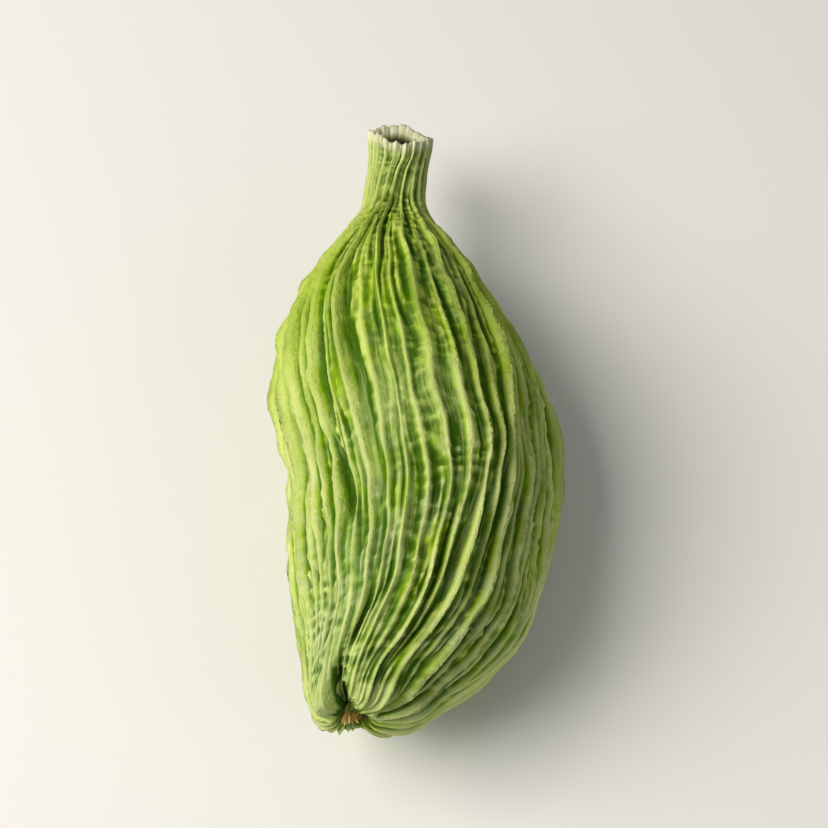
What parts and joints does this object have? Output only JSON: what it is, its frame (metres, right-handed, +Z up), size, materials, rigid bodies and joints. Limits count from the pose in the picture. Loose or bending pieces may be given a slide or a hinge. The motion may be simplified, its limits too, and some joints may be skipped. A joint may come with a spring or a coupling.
{
  "type": "green cardamom pod",
  "caption": "Dried whole green cardamom pod: a papery ribbed spice capsule of bluntly triangular section that tapers to a short torn beak, lying on its flattest side.",
  "frame": {"origin": "under the middle of the pod, on the surface that it lies on", "axes": "+Y along the pod towards its beak, +Z up from the surface, +X to the right seen with the beak pointing away"},
  "size_m": [0.0078, 0.0182, 0.0071],
  "materials": {
    "husk": "matte"
  },
  "bodies": {
    "root": {"pod": "husk"}
  },
  "joints": []
}
